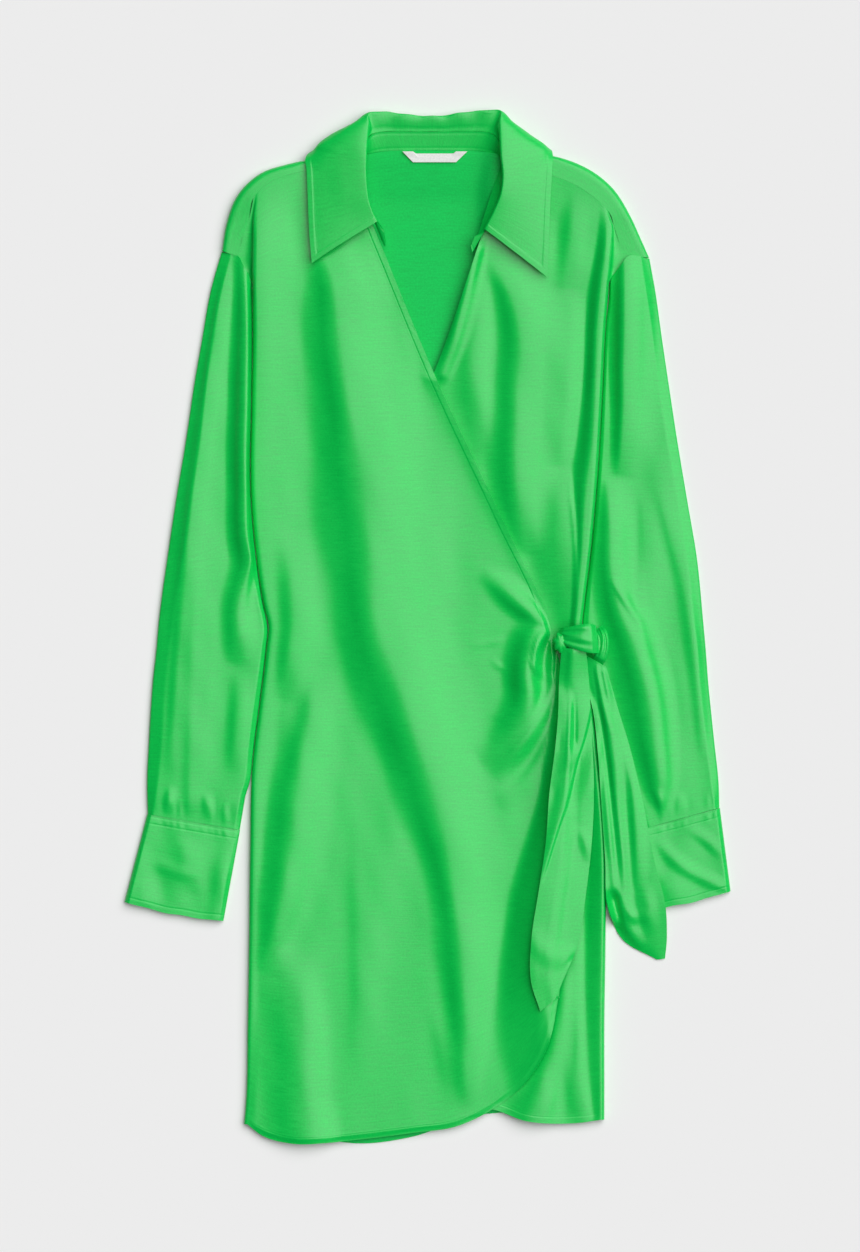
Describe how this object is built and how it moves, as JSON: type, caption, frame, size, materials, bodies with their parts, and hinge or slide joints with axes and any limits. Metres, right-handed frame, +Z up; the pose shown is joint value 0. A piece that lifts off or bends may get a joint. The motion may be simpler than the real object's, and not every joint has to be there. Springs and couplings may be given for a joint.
{
  "type": "wrap dress",
  "caption": "Long-sleeved satin wrap shirt dress laid flat on its back, with a pointed collar, deep cuffs, a curved overlapping hem and a knotted waist tie.",
  "frame": {"origin": "on the floor under the middle of the laid-out dress", "axes": "+Y from the hem to the collar, +X to the right seen from above, +Z up from the floor through the dress"},
  "size_m": [0.5332, 0.9108, 0.03],
  "materials": {
    "satin_green": "bright green satin weave with soft highlights",
    "label_ribbon": "plain off-white woven ribbon"
  },
  "bodies": {
    "root": {"back": "satin_green", "front_inner": "satin_green", "front_outer": "satin_green", "sleeve_left": "satin_green", "sleeve_right": "satin_green", "cuff_left": "satin_green", "cuff_right": "satin_green", "collar_stand": "satin_green", "collar_leaf": "satin_green", "neck_label": "label_ribbon", "tie_front": "satin_green", "tie_side": "satin_green", "knot_core": "satin_green", "knot_band": "satin_green", "knot_loop": "satin_green"}
  },
  "joints": []
}
